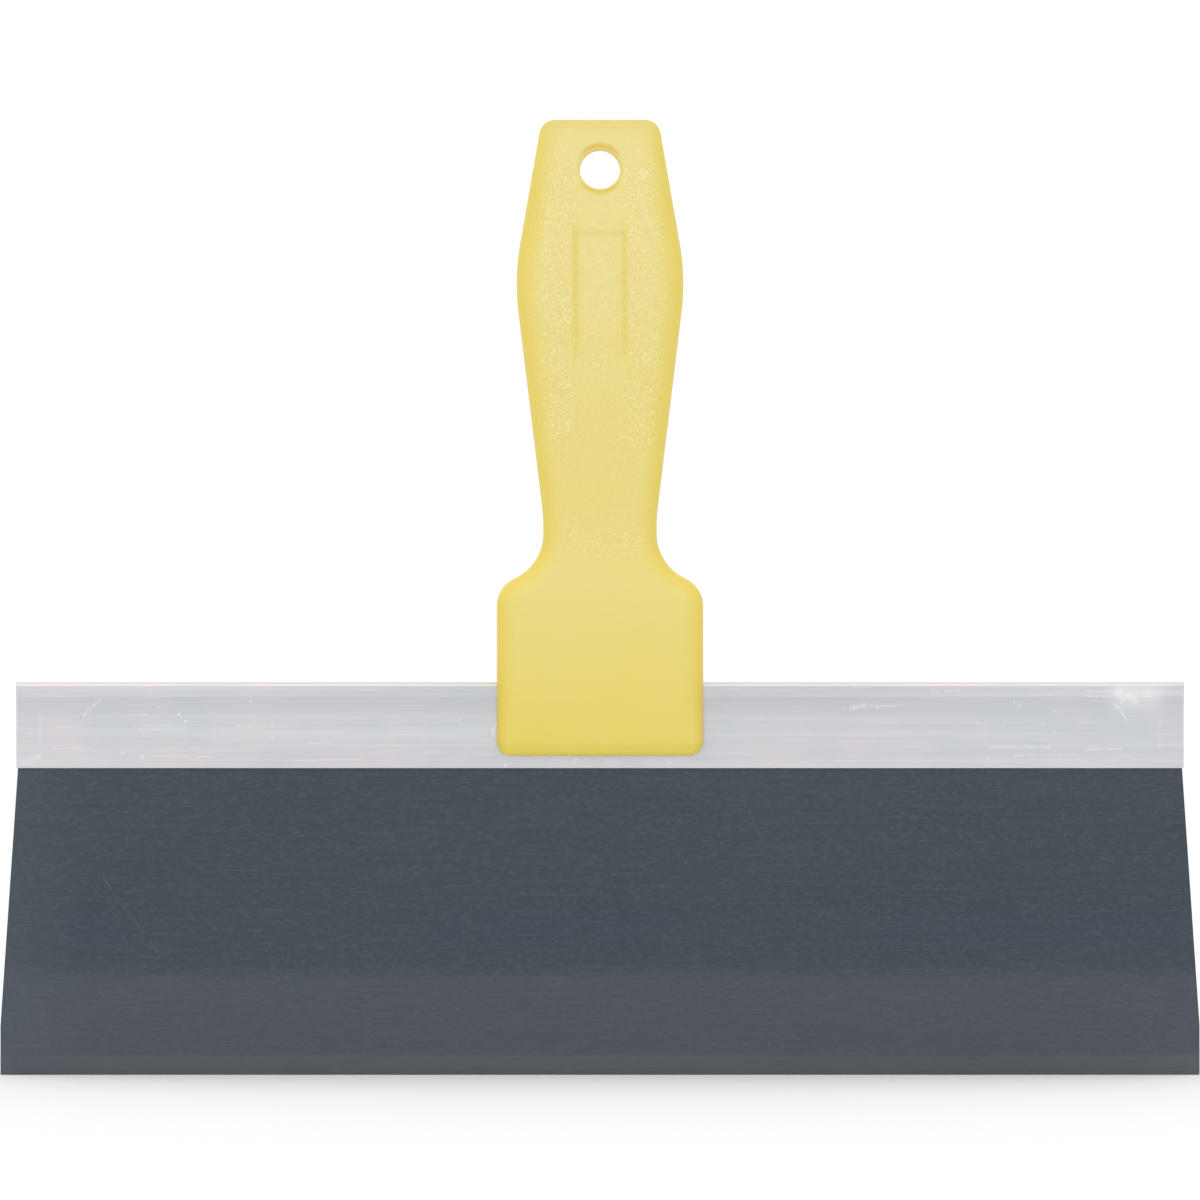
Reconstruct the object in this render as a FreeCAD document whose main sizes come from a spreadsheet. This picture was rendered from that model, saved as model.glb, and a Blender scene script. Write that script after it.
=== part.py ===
import FreeCAD, Part
import math
import os

import Sketcher

# Drywall taping knife: a blued spring-steel blade gripped in the slot of an extruded aluminium backing
# bar, with a moulded plastic handle whose fork straddles the bar. Six rivets pin the blade in the bar and
# three drive rivets tie handle, bar and blade together. All nine are driven from the back and end blind.
#
# Frame, in millimetres: the origin is the middle of the blade's working edge, X runs along that edge,
# Z runs up the handle, and the front face looks along -Y.

Vector = FreeCAD.Vector
SHEET = "Dimensions"
PARTS_FOLDER = "parts"
ZERO_FORMULA = "0 * 1 mm"

# How closely an edge's box has to match a hole's centre and width to be that hole's rim, and the depth
# above which a rim lies on the handle's curved surface and not on a flat seat inside it.
EDGE_MATCH = 0.01
RIM_SEARCH = 0.3
RIM_FLATNESS = 0.05

# Where the seam of a round hole lies. It keeps clear of the level and upright planes through the hole's
# axis, so that a later cut along one of them, or halfway between them, meets no seam.
SEAM_ANGLE = math.radians(22.5)

DIMENSIONS = {
    # blade
    "blade_width": 304.8,
    "blade_top_width": 294.0,
    "blade_top": 92.0,
    "blade_square_end": 12.5,
    "blade_thickness": 0.5,
    "blade_edge_thickness": 0.24,
    "bevel_height": 5.3,
    # backing bar
    "bar_length": 296.5,
    "bar_bottom": 78.0,
    "bar_top": 99.8,
    "spine_thickness": 5.2,
    "spine_height": 3.8,
    "spine_radius": 1.1,
    "groove_step": 0.35,
    "hollow_height": 3.4,
    "hollow_radius": 20.0,
    "lip_root_thickness": 3.5,
    "lip_tip_thickness": 3.0,
    "bar_end_break": 0.3,
    # handle, front outline
    "handle_bottom": 81.1,
    "handle_top": 242.6,
    "base_width": 52.4,
    "base_corner_radius": 3.6,
    "shoulder_height": 123.91,
    "shoulder_radius": 7.6,
    "neck_width": 28.8,
    "neck_low_height": 129.84,
    "neck_low_radius": 12.6,
    "neck_high_height": 141.66,
    "neck_high_radius": 50.0,
    "swell_width": 43.6,
    "swell_height": 202.5,
    "swell_radius": 60.0,
    "top_width": 29.56,
    "top_corner_radius": 4.0,
    # handle, side outline
    "base_low_depth": 11.4,
    "belly_depth": 16.0,
    "belly_height": 99.0,
    "belly_bend": 120.0,
    "hip_depth": 17.8,
    "hip_height": 117.0,
    "hip_bend": 80.0,
    "waist_depth": 14.8,
    "waist_height": 139.0,
    "waist_bend": 120.0,
    "palm_depth": 21.2,
    "palm_height": 200.0,
    "palm_bend": 190.0,
    "top_depth": 13.8,
    # handle, rounding of the long edges, and the heights between which one radius grows into the next
    "base_edge_radius": 3.3,
    "base_edge_end": 84.8,
    "side_edge_radius": 5.4,
    "side_edge_start": 94.0,
    "side_edge_end": 146.3,
    "grip_edge_radius": 7.2,
    "grip_edge_start": 186.0,
    "grip_edge_end": 214.0,
    "top_edge_radius": 3.6,
    "top_edge_start": 239.0,
    # handle, hang hole and label panel
    "hang_hole_radius": 5.15,
    "hang_hole_height": 230.0,
    "hang_hole_rim": 1.2,
    "label_width": 14.3,
    "label_bottom": 175.9,
    "label_top": 214.6,
    "label_recess": 0.6,
    "label_floor_radius": 0.3,
    "label_rim_radius": 0.25,
    "label_corner_radius": 1.2,
    # rivets
    "handle_rivet_spacing": 17.0,
    "handle_rivet_height": 89.0,
    "handle_rivet_radius": 2.0,
    "handle_rivet_bite": 4.6,
    "handle_rivet_seat": 4.6,
    "handle_rivet_head_radius": 3.7,
    "handle_rivet_head_height": 1.5,
    "handle_rivet_rim_height": 0.4,
    "handle_rivet_tip_length": 1.0,
    "handle_seat_radius": 4.0,
    "handle_seat_rim": 0.4,
    "blade_rivet_height": 85.0,
    "blade_rivet_inner": 53.0,
    "blade_rivet_middle": 98.0,
    "blade_rivet_outer": 142.0,
    "blade_rivet_radius": 1.5,
    "blade_rivet_bite": 1.1,
    "blade_rivet_seat": 1.67,
    "blade_rivet_head_radius": 2.7,
    "blade_rivet_head_height": 0.9,
    "blade_rivet_rim_height": 0.25,
    "blade_rivet_tip_length": 0.4,
    "rivet_clearance": 0.02,
}


class Size:
    """A length that knows both its value and the sheet formula it comes from."""

    def __init__(self, value, formula):
        self.value = value
        self.formula = formula

    def __add__(self, other):
        return Size(self.value + other.value, f"({self.formula} + {other.formula})")

    def __sub__(self, other):
        return Size(self.value - other.value, f"({self.formula} - {other.formula})")

    def __truediv__(self, divisor):
        return Size(self.value / divisor, f"({self.formula} / {divisor})")

    def __neg__(self):
        return Size(-self.value, f"(-1 * {self.formula})")


def size(alias):
    return Size(DIMENSIONS[alias], f"{SHEET}.{alias}")


def half(alias):
    return size(alias) / 2


# ---------------------------------------------------------------- sheet, bodies and features


def make_sheet(document):
    sheet = document.addObject("Spreadsheet::Sheet", SHEET)
    for row, (alias, value) in enumerate(DIMENSIONS.items(), start=1):
        sheet.set(f"A{row}", alias)
        sheet.set(f"B{row}", str(value))
        sheet.setAlias(f"B{row}", alias)
    document.recompute()
    return sheet


def bind(target, path, length):
    """Ties one property of an object to the sheet."""
    target.setExpression(path, length.formula)


def make_body(document, name):
    body = document.addObject("PartDesign::Body", name)
    body.Label = name
    return body


def make_sketch(body, name, plane, offset=None):
    """A sketch on one of the body's own origin planes, moved along the plane's normal by offset."""
    sketch = body.newObject("Sketcher::SketchObject", name)
    support = next(feature for feature in body.Origin.OriginFeatures if feature.Role == plane)
    sketch.AttachmentSupport = [(support, "")]
    sketch.MapMode = "FlatFace"
    if offset is not None:
        bind(sketch, ".AttachmentOffset.Base.z", offset)
    return sketch


def pad(body, name, sketch, length):
    """Grows the sketch by half the length on each side of its plane."""
    feature = body.newObject("PartDesign::Pad", name)
    feature.Profile = sketch
    feature.SideType = "Symmetric"
    bind(feature, "Length", length)
    return feature


def cut_through(body, name, sketch):
    """Cuts the sketch out of the body on both sides of its plane."""
    feature = body.newObject("PartDesign::Pocket", name)
    feature.Profile = sketch
    feature.SideType = "Symmetric"
    feature.Type = "ThroughAll"
    return feature


def cut_to_the_back(body, name, sketch):
    """Cuts from the sketch's plane out through the back of the body, towards +Y."""
    feature = body.newObject("PartDesign::Pocket", name)
    feature.Profile = sketch
    feature.Type = "ThroughAll"
    return feature


# ---------------------------------------------------------------- sketch geometry

ORIGIN = (-1, 1)
START, END, CENTRE = 1, 2, 3
LEVEL_AXIS, UPRIGHT_AXIS = -1, -2


def constrain(sketch, kind, *arguments):
    return sketch.addConstraint(Sketcher.Constraint(kind, *arguments))


def dimension(sketch, kind, arguments, length):
    index = constrain(sketch, kind, *arguments, length.value)
    sketch.setExpression(f"Constraints[{index}]", length.formula)


def place(sketch, geometry, end, across, up):
    """Holds a point at sheet-driven distances from the origin; None puts it on that axis."""
    for kind, distance, axis in (("DistanceX", across, UPRIGHT_AXIS), ("DistanceY", up, LEVEL_AXIS)):
        point = (geometry, end)
        if distance is None:
            constrain(sketch, "PointOnObject", *point, axis)
        elif distance.value < 0:
            dimension(sketch, kind, (*point, *ORIGIN), -distance)
        else:
            dimension(sketch, kind, (*ORIGIN, *point), distance)


def mirrored(corners):
    """The right-hand corners, bottom to top, and their mirror images back down on the left."""
    left = [(-across, up, radius) for across, up, radius in reversed(corners)]
    return corners + left


def add_outline(sketch, corners):
    """A closed outline, anticlockwise, of straight sides through the corners (across, up, radius).

    A corner with a radius is rounded by an arc tangent to both of its sides.
    """
    spots = [Vector(across.value, up.value, 0) for across, up, _ in corners]
    count = len(corners)
    arrivals, departures, turns = [], [], []
    for number, (_, _, radius) in enumerate(corners):
        spot = spots[number]
        inward = (spot - spots[number - 1]).normalize()
        outward = (spots[(number + 1) % count] - spot).normalize()
        turn = math.atan2(inward.x * outward.y - inward.y * outward.x, inward.dot(outward))
        reach = radius.value * math.tan(abs(turn) / 2) if radius else 0.0
        arrivals.append(spot - inward * reach)
        departures.append(spot + outward * reach)
        turns.append(turn)
    sides = [
        sketch.addGeometry(Part.LineSegment(departures[number], arrivals[(number + 1) % count]))
        for number in range(count)
    ]
    for number, (across, up, radius) in enumerate(corners):
        before, after = sides[number - 1], sides[number]
        if radius is None:
            constrain(sketch, "Coincident", before, END, after, START)
            place(sketch, after, START, across, up)
            continue
        tip = sketch.addGeometry(Part.Point(spots[number]), True)
        constrain(sketch, "PointOnObject", tip, START, before)
        constrain(sketch, "PointOnObject", tip, START, after)
        place(sketch, tip, START, across, up)
        arc = add_corner_arc(sketch, arrivals[number], departures[number], turns[number], radius)
        first, last = (START, END) if turns[number] > 0 else (END, START)
        constrain(sketch, "Tangent", before, END, arc, first)
        constrain(sketch, "Tangent", arc, last, after, START)
        dimension(sketch, "Radius", (arc,), radius)


def add_corner_arc(sketch, arrival, departure, turn, radius):
    """The arc from arrival to departure that turns through the given angle."""
    chord = departure - arrival
    side = Vector(chord.y, -chord.x, 0).normalize() * math.copysign(1, turn)
    bulge = radius.value * (1 - math.cos(turn / 2))
    middle = (arrival + departure) / 2 + side * bulge
    return sketch.addGeometry(Part.Arc(arrival, middle, departure))


def add_circles(sketch, centres, radius):
    for across, up in centres:
        middle = Vector(across.value if across else 0, up.value, 0)
        guess = Part.Circle(middle, Vector(0, 0, 1), radius.value)
        guess.AngleXU = SEAM_ANGLE
        circle = sketch.addGeometry(guess)
        place(sketch, circle, CENTRE, across, up)
        dimension(sketch, "Radius", (circle,), radius)


# ---------------------------------------------------------------- places of the rivets


def blade_rivet_spots():
    """Name to (across, up) of the rivets that pin the blade in the bar, left to right."""
    up = size("blade_rivet_height")
    spots = {}
    for station in ("outer", "middle", "inner"):
        spots[f"blade_rivet_left_{station}"] = (-size(f"blade_rivet_{station}"), up)
    for station in ("inner", "middle", "outer"):
        spots[f"blade_rivet_right_{station}"] = (size(f"blade_rivet_{station}"), up)
    return spots


def handle_rivet_spots():
    """Name to (across, up) of the rivets that tie the handle to the bar; None is the centre line."""
    up = size("handle_rivet_height")
    return {
        "handle_rivet_left": (-size("handle_rivet_spacing"), up),
        "handle_rivet_middle": (None, up),
        "handle_rivet_right": (size("handle_rivet_spacing"), up),
    }


def hole_radius(rivet):
    return size(f"{rivet}_radius") + size("rivet_clearance")


# ---------------------------------------------------------------- blade


def make_blade(document):
    body = make_body(document, "blade")
    section = make_sketch(body, "blade_section", "YZ_Plane")
    edge, face = half("blade_edge_thickness"), half("blade_thickness")
    bottom = Size(0.0, ZERO_FORMULA)
    flank = [
        (edge, bottom, None),
        (face, size("bevel_height"), None),
        (face, size("blade_top"), None),
    ]
    add_outline(section, mirrored(flank))
    pad(body, "blade_sheet", section, size("blade_width"))

    tapers = make_sketch(body, "blade_tapers", "XZ_Plane")
    low, high = size("blade_square_end"), size("blade_top")
    wide, narrow = half("blade_width"), half("blade_top_width")
    add_outline(tapers, [(wide, low, None), (wide, high, None), (narrow, high, None)])
    add_outline(tapers, [(-wide, low, None), (-narrow, high, None), (-wide, high, None)])
    cut_through(body, "blade_side_cuts", tapers)

    for rivet, spots in (("blade_rivet", blade_rivet_spots()), ("handle_rivet", handle_rivet_spots())):
        holes = make_sketch(body, f"blade_{rivet}_holes", "XZ_Plane")
        add_circles(holes, spots.values(), hole_radius(rivet))
        cut_through(body, f"blade_{rivet}_punching", holes)
    return body


# ---------------------------------------------------------------- backing bar


def bar_flank():
    """Right-hand side of the extrusion's section, from the lip's tip up to the spine's top."""
    spine_foot = size("bar_top") - size("spine_height")
    return [
        (half("lip_tip_thickness"), size("bar_bottom"), None),
        (half("lip_root_thickness"), spine_foot - size("hollow_height"), size("hollow_radius")),
        (half("spine_thickness") - size("groove_step"), spine_foot, None),
        (half("spine_thickness"), spine_foot, None),
        (half("spine_thickness"), size("bar_top"), size("spine_radius")),
    ]


def end_outline_edges(shape):
    """Names of the edges round the bar's two sawn ends, without those inside the blade's slot."""
    names = []
    slot = DIMENSIONS["blade_thickness"] / 2
    roof = DIMENSIONS["blade_top"]
    for number, edge in enumerate(shape.Edges, start=1):
        middle = edge.CenterOfMass
        is_in_slot = abs(middle.y) < slot + EDGE_MATCH and middle.z < roof + EDGE_MATCH
        if edge.BoundBox.XLength < EDGE_MATCH and not is_in_slot:
            names.append(f"Edge{number}")
    return names


def make_backing_bar(document):
    body = make_body(document, "backing_bar")
    section = make_sketch(body, "bar_section", "YZ_Plane")
    slot = half("blade_thickness")
    slot_mouth = (slot, size("bar_bottom"), None)
    slot_roof = (slot, size("blade_top"), None)
    add_outline(section, mirrored([slot_roof, slot_mouth] + bar_flank()))
    extrusion = pad(body, "bar_extrusion", section, size("bar_length"))
    document.recompute()
    broken = body.newObject("PartDesign::Chamfer", "bar_end_edges")
    broken.Base = (extrusion, end_outline_edges(extrusion.Shape))
    bind(broken, "Size", size("bar_end_break"))

    through = make_sketch(body, "bar_handle_rivet_holes", "XZ_Plane")
    add_circles(through, handle_rivet_spots().values(), hole_radius("handle_rivet"))
    cut_through(body, "bar_handle_rivet_drilling", through)

    blind = make_sketch(body, "bar_blade_rivet_holes", "XZ_Plane", size("blade_rivet_bite"))
    add_circles(blind, blade_rivet_spots().values(), hole_radius("blade_rivet"))
    cut_to_the_back(body, "bar_blade_rivet_drilling", blind)
    return body


# ---------------------------------------------------------------- handle


def handle_front_flank():
    """Right-hand side of the handle seen from the front, bottom to top."""
    return [
        (half("base_width"), size("handle_bottom"), size("base_corner_radius")),
        (half("base_width"), size("shoulder_height"), size("shoulder_radius")),
        (half("neck_width"), size("neck_low_height"), size("neck_low_radius")),
        (half("neck_width"), size("neck_high_height"), size("neck_high_radius")),
        (half("swell_width"), size("swell_height"), size("swell_radius")),
        (half("top_width"), size("handle_top"), size("top_corner_radius")),
    ]


def handle_side_flank():
    """Back half of the handle seen from the side, bottom to top."""
    return [
        (half("base_low_depth"), size("handle_bottom"), None),
        (half("belly_depth"), size("belly_height"), size("belly_bend")),
        (half("hip_depth"), size("hip_height"), size("hip_bend")),
        (half("waist_depth"), size("waist_height"), size("waist_bend")),
        (half("palm_depth"), size("palm_height"), size("palm_bend")),
        (half("top_depth"), size("handle_top"), None),
    ]


def make_handle_blank(document):
    """The handle's front outline cut to its side outline, with its long edges still sharp."""
    body = make_body(document, "handle_blank")
    front = make_sketch(body, "handle_front_outline", "XZ_Plane")
    add_outline(front, mirrored(handle_front_flank()))
    pad(body, "handle_slab", front, size("palm_depth"))

    side = make_sketch(body, "handle_side_outline", "YZ_Plane")
    margin = size("palm_depth")
    low, high = size("handle_bottom") - margin, size("handle_top") + margin
    add_outline(side, mirrored([(margin, low, None), (margin, high, None)]))
    add_outline(side, mirrored(handle_side_flank()))
    cut_through(body, "handle_side_cut", side)
    return body


def long_edge_radius(height):
    """Rounding of the handle's long edges: tight under the base, wider up its sides, full in the grip."""
    steps = [
        ("base_edge_end", "base_edge_radius"),
        ("side_edge_start", "side_edge_radius"),
        ("side_edge_end", "side_edge_radius"),
        ("grip_edge_start", "grip_edge_radius"),
        ("grip_edge_end", "grip_edge_radius"),
        ("top_edge_start", "top_edge_radius"),
    ]
    stations = [(DIMENSIONS[level], DIMENSIONS[radius]) for level, radius in steps]
    if height <= stations[0][0]:
        return stations[0][1]
    for (low, first), (high, last) in zip(stations, stations[1:]):
        if height <= high:
            return first + (last - first) * (height - low) / (high - low)
    return stations[-1][1]


def is_broad_face(face):
    """True for the handle's front and back, False for the walls of its outline."""
    first_u, last_u, first_v, last_v = face.ParameterRange
    normal = face.normalAt((first_u + last_u) / 2, (first_v + last_v) / 2)
    return abs(normal.y) > 0.5


def joins_wall_and_broad_face(shape, edge):
    """True for an edge between a front or back face and a wall."""
    sides = {is_broad_face(face) for face in shape.ancestorsOfType(edge, Part.Face)}
    return len(sides) == 2


def round_handle(document, blank):
    """Rounds every edge between the handle's front or back and its walls."""
    rounded = document.addObject("Part::Fillet", "rounded_handle")
    rounded.Base = blank
    shape = blank.Shape
    edges = []
    for number, edge in enumerate(shape.Edges, start=1):
        if joins_wall_and_broad_face(shape, edge):
            radii = [long_edge_radius(vertex.Point.z) for vertex in (edge.Vertexes[0], edge.Vertexes[-1])]
            edges.append((number, *radii))
    rounded.Edges = edges
    return rounded


def round_edges(body, name, feature, edges, radius):
    fillet = body.newObject("PartDesign::Fillet", name)
    fillet.Base = (feature, edges)
    bind(fillet, "Radius", radius)
    return fillet


def floor_rim(tool):
    """Names of the edges round the label tool's inner face, which becomes the label's floor."""
    return [
        f"Edge{number}"
        for number, edge in enumerate(tool.Edges, start=1)
        if joins_wall_and_broad_face(tool, edge) and edge.CenterOfMass.y > tool.BoundBox.Center.y
    ]


def make_label_tool(document):
    """The thin slab that the label panel takes out of the front of the grip."""
    body = make_body(document, "label_tool")
    outline = make_sketch(body, "label_outline", "XZ_Plane")
    corner = size("label_corner_radius")
    edge = half("label_width")
    corners = [(edge, size("label_bottom"), corner), (edge, size("label_top"), corner)]
    add_outline(outline, mirrored(corners))
    slab = body.newObject("PartDesign::Pad", "label_slab")
    slab.Profile = outline
    bind(slab, "Length", size("palm_depth"))

    core = make_sketch(body, "label_floor_outline", "YZ_Plane")
    depth = size("label_recess")
    add_outline(core, mirrored([(across - depth, up, bend) for across, up, bend in handle_side_flank()]))
    floored = cut_through(body, "label_floor", core)
    document.recompute()
    round_edges(body, "label_floor_rim", floored, floor_rim(floored.Shape), size("label_floor_radius"))
    return body


def rims_on_the_surface(shape, spots, radius, facing):
    """Names of the edges where round holes meet the handle's front (facing -1) or back (facing 1)."""
    names = []
    for number, edge in enumerate(shape.Edges, start=1):
        box = edge.BoundBox
        for across, up in spots:
            middle = Vector(across.value if across else 0.0, box.Center.y, up.value)
            is_centred = (box.Center - middle).Length < RIM_SEARCH
            is_full = abs(box.XLength - 2 * radius.value) < RIM_SEARCH
            is_slanted = box.YLength > RIM_FLATNESS
            if is_centred and is_full and is_slanted and box.Center.y * facing > 0:
                names.append(f"Edge{number}")
    return names


def label_rim(shape):
    """Names of the edges where the label's walls meet the front of the grip."""
    low, high = DIMENSIONS["label_bottom"], DIMENSIONS["label_top"]
    width = DIMENSIONS["label_width"]
    names = []
    for number, edge in enumerate(shape.Edges, start=1):
        box = edge.BoundBox
        is_across = max(-box.XMin, box.XMax) < width / 2 + EDGE_MATCH
        is_level = low - EDGE_MATCH < box.ZMin and box.ZMax < high + EDGE_MATCH
        widest = max(face.BoundBox.XLength for face in shape.ancestorsOfType(edge, Part.Face))
        if is_across and is_level and box.YMax < 0 and widest > width + EDGE_MATCH:
            names.append(f"Edge{number}")
    return names


def make_handle(document):
    blank = make_handle_blank(document)
    label_tool = make_label_tool(document)
    document.recompute()
    rounded = round_handle(document, blank)
    panelled = document.addObject("Part::Cut", "panelled_handle")
    panelled.Base = rounded
    panelled.Tool = label_tool
    document.recompute()

    body = make_body(document, "handle")
    body.BaseFeature = panelled
    document.recompute()
    base = body.Group[0]
    round_edges(body, "label_rim", base, label_rim(base.Shape), size("label_rim_radius"))

    hang_spot = [(None, size("hang_hole_height"))]
    hang_radius = size("hang_hole_radius")
    hole = make_sketch(body, "hang_hole_outline", "XZ_Plane")
    add_circles(hole, hang_spot, hang_radius)
    drilled = cut_through(body, "hang_hole", hole)
    document.recompute()
    rims = [name for facing in (-1, 1)
            for name in rims_on_the_surface(drilled.Shape, hang_spot, hang_radius, facing)]
    round_edges(body, "hang_hole_rim", drilled, rims, size("hang_hole_rim"))

    rivet_spots = handle_rivet_spots().values()
    seat_radius = size("handle_seat_radius")
    seats = make_sketch(body, "rivet_seat_outlines", "XZ_Plane", -size("handle_rivet_seat"))
    add_circles(seats, rivet_spots, seat_radius)
    seated = cut_to_the_back(body, "rivet_seats", seats)
    document.recompute()
    rims = rims_on_the_surface(seated.Shape, rivet_spots, seat_radius, 1)
    round_edges(body, "rivet_seat_rims", seated, rims, size("handle_seat_rim"))

    shanks = make_sketch(body, "rivet_shank_outlines", "XZ_Plane", size("handle_rivet_bite"))
    add_circles(shanks, rivet_spots, hole_radius("handle_rivet"))
    cut_to_the_back(body, "rivet_shank_holes", shanks)

    socket = make_sketch(body, "handle_socket_outline", "YZ_Plane")
    add_outline(socket, mirrored(bar_flank()))
    cut_through(body, "handle_socket", socket)
    return body


# ---------------------------------------------------------------- rivets


def add_dome(profile, lines, edge, crown):
    """Closes a rivet's profile with an arc from its head's edge to the crown, level on the rivet's axis."""
    rise = crown.y - edge.y
    radius = (edge.x ** 2 + rise ** 2) / (2 * rise)
    half_angle = math.asin(edge.x / radius) / 2
    centre = Vector(0, crown.y - radius, 0)
    middle = centre + Vector(math.sin(half_angle), math.cos(half_angle), 0) * radius
    dome = profile.addGeometry(Part.Arc(edge, middle, crown))
    constrain(profile, "Coincident", dome, START, lines[-1], END)
    constrain(profile, "Coincident", dome, END, lines[0], START)
    constrain(profile, "PointOnObject", dome, CENTRE, UPRIGHT_AXIS)


def make_rivet(document, name, kind, spot):
    """A domed rivet turned about its own axis, head to the back, its seat on the body's XZ plane."""
    body = make_body(document, name)
    profile = make_sketch(body, f"{name}_profile", "XY_Plane")
    shank, head = size(f"{kind}_radius"), size(f"{kind}_head_radius")
    crown = size(f"{kind}_head_height")
    rim = size(f"{kind}_rim_height")
    length = size(f"{kind}_seat") + size(f"{kind}_bite") - size("rivet_clearance")
    lead = size(f"{kind}_tip_length")
    tip = shank - lead / 2
    level = Size(0.0, ZERO_FORMULA)
    points = [
        (None, crown), (None, -length), (tip, -length), (shank, lead - length),
        (shank, level), (head, level), (head, rim),
    ]
    spots = [Vector(across.value if across else 0.0, up.value, 0) for across, up in points]
    lines = [
        profile.addGeometry(Part.LineSegment(spots[number], spots[number + 1]))
        for number in range(len(spots) - 1)
    ]
    for number, line in enumerate(lines):
        if number:
            constrain(profile, "Coincident", lines[number - 1], END, line, START)
        place(profile, line, START, *points[number])
    place(profile, lines[-1], END, *points[-1])
    add_dome(profile, lines, spots[-1], spots[0])

    turned = body.newObject("PartDesign::Revolution", f"{name}_turned")
    turned.Profile = profile
    turned.ReferenceAxis = (profile, ["V_Axis"])
    turned.Angle = 360
    across, up = spot
    if across is not None:
        bind(body, ".Placement.Base.x", across)
    bind(body, ".Placement.Base.y", size(f"{kind}_seat"))
    bind(body, ".Placement.Base.z", up)
    return body


# ---------------------------------------------------------------- whole knife


def make_knife(document):
    make_sheet(document)
    pieces = [make_blade(document), make_backing_bar(document), make_handle(document)]
    for kind, spots in (("blade_rivet", blade_rivet_spots()), ("handle_rivet", handle_rivet_spots())):
        for name, spot in spots.items():
            pieces.append(make_rivet(document, name, kind, spot))
    document.recompute()
    return pieces


def check(document, pieces):
    """Stops before anything is written if a feature failed or a piece isn't one sound solid."""
    for item in document.Objects:
        if "Invalid" in item.State or "Error" in item.State:
            raise RuntimeError(f"{item.Name} did not compute: {item.State}")
    for piece in pieces:
        shape = piece.Shape
        if shape.isNull() or not shape.isValid() or len(shape.Solids) != 1:
            raise RuntimeError(f"{piece.Label} is not one sound solid")


def write(pieces):
    os.makedirs(PARTS_FOLDER, exist_ok=True)
    for piece in pieces:
        piece.Shape.exportStep(os.path.join(PARTS_FOLDER, f"{piece.Label}.step"))
        print(f"{piece.Label:28s} {piece.Shape.Volume:10.1f} mm3")


knife = FreeCAD.newDocument("taping_knife")
knife_pieces = make_knife(knife)
check(knife, knife_pieces)
write(knife_pieces)
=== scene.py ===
"""Looks of the drywall taping knife: meshes, materials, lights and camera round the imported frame."""

import math

import bmesh
import bpy
import numpy as np
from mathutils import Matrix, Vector
from mathutils.geometry import delaunay_2d_cdt


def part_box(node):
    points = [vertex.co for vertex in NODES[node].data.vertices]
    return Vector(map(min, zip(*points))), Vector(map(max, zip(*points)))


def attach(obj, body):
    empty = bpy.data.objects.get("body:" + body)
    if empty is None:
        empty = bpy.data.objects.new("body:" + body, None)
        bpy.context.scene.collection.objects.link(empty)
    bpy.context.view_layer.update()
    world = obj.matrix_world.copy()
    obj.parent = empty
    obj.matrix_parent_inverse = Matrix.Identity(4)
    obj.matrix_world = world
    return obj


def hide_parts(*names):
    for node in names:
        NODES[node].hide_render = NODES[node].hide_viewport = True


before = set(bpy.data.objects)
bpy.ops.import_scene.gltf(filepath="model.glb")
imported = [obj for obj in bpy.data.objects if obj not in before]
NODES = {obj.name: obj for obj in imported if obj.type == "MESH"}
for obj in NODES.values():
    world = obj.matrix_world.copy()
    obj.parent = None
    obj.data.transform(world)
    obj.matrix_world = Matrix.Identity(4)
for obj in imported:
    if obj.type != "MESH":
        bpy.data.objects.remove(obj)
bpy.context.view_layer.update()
MM = 0.001


def node_box(name):
    """Lowest and highest corner of a CAD node, in millimetres."""
    low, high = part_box(name)
    return np.array(low) / MM, np.array(high) / MM


# ---------------------------------------------------------------- mesh tools


def rounded_path(corners, step):
    """Points and right-hand normals along an open path, in millimetres.

    The path runs straight through the corners (across, up, radius); a radius rounds its corner by a
    tangent arc. No two neighbouring points are further apart than step.
    """
    spots = [np.array(corner[:2], float) for corner in corners]
    radii = [corner[2] for corner in corners]
    points, normals = [], []

    def add(point, normal):
        if not points or np.linalg.norm(points[-1] - point) > 1e-6:
            points.append(point)
            normals.append(normal)

    def run(start, end):
        way = end - start
        length = np.linalg.norm(way)
        normal = np.array([way[1], -way[0]]) / max(length, 1e-9)
        count = max(1, math.ceil(length / step))
        for i in range(count + 1):
            add(start + way * i / count, normal)

    here = spots[0]
    for before, spot, after, radius in zip(spots, spots[1:], spots[2:], radii[1:]):
        if not radius:
            run(here, spot)
            here = spot
            continue
        inward = (spot - before) / np.linalg.norm(spot - before)
        outward = (after - spot) / np.linalg.norm(after - spot)
        turn = math.atan2(inward[0] * outward[1] - inward[1] * outward[0], inward @ outward)
        reach = radius * math.tan(abs(turn) / 2)
        start = spot - inward * reach
        run(here, start)
        side = math.copysign(1, turn)
        centre = start + np.array([-inward[1], inward[0]]) * radius * side
        count = max(2, math.ceil(abs(turn) * radius / step))
        first = math.atan2(*(start - centre)[::-1])
        for i in range(1, count + 1):
            angle = first + turn * i / count
            ray = np.array([math.cos(angle), math.sin(angle)])
            add(centre + ray * radius, ray * side)
        here = spot + outward * reach
    run(here, spots[-1])
    return np.array(points), np.array(normals)


def closed_by_mirror(points, normals):
    """Closes a path that starts and ends on the centre line with its mirror image."""
    flip = np.array([-1.0, 1.0])
    return (
        np.vstack([points, points[-2:0:-1] * flip]),
        np.vstack([normals, normals[-2:0:-1] * flip]),
    )


def inside(points, loop):
    """Which of the 2-D points lie inside the closed loop."""
    ends = np.roll(loop, -1, axis=0)
    px, py = points[:, :1], points[:, 1:]
    ax, ay, bx, by = loop[:, 0], loop[:, 1], ends[:, 0], ends[:, 1]
    straddles = (ay > py) != (by > py)
    run = np.where(by == ay, 1e-12, by - ay)
    crossing = px < (bx - ax) * (py - ay) / run + ax
    return (straddles & crossing).sum(axis=1) % 2 == 1


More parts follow.
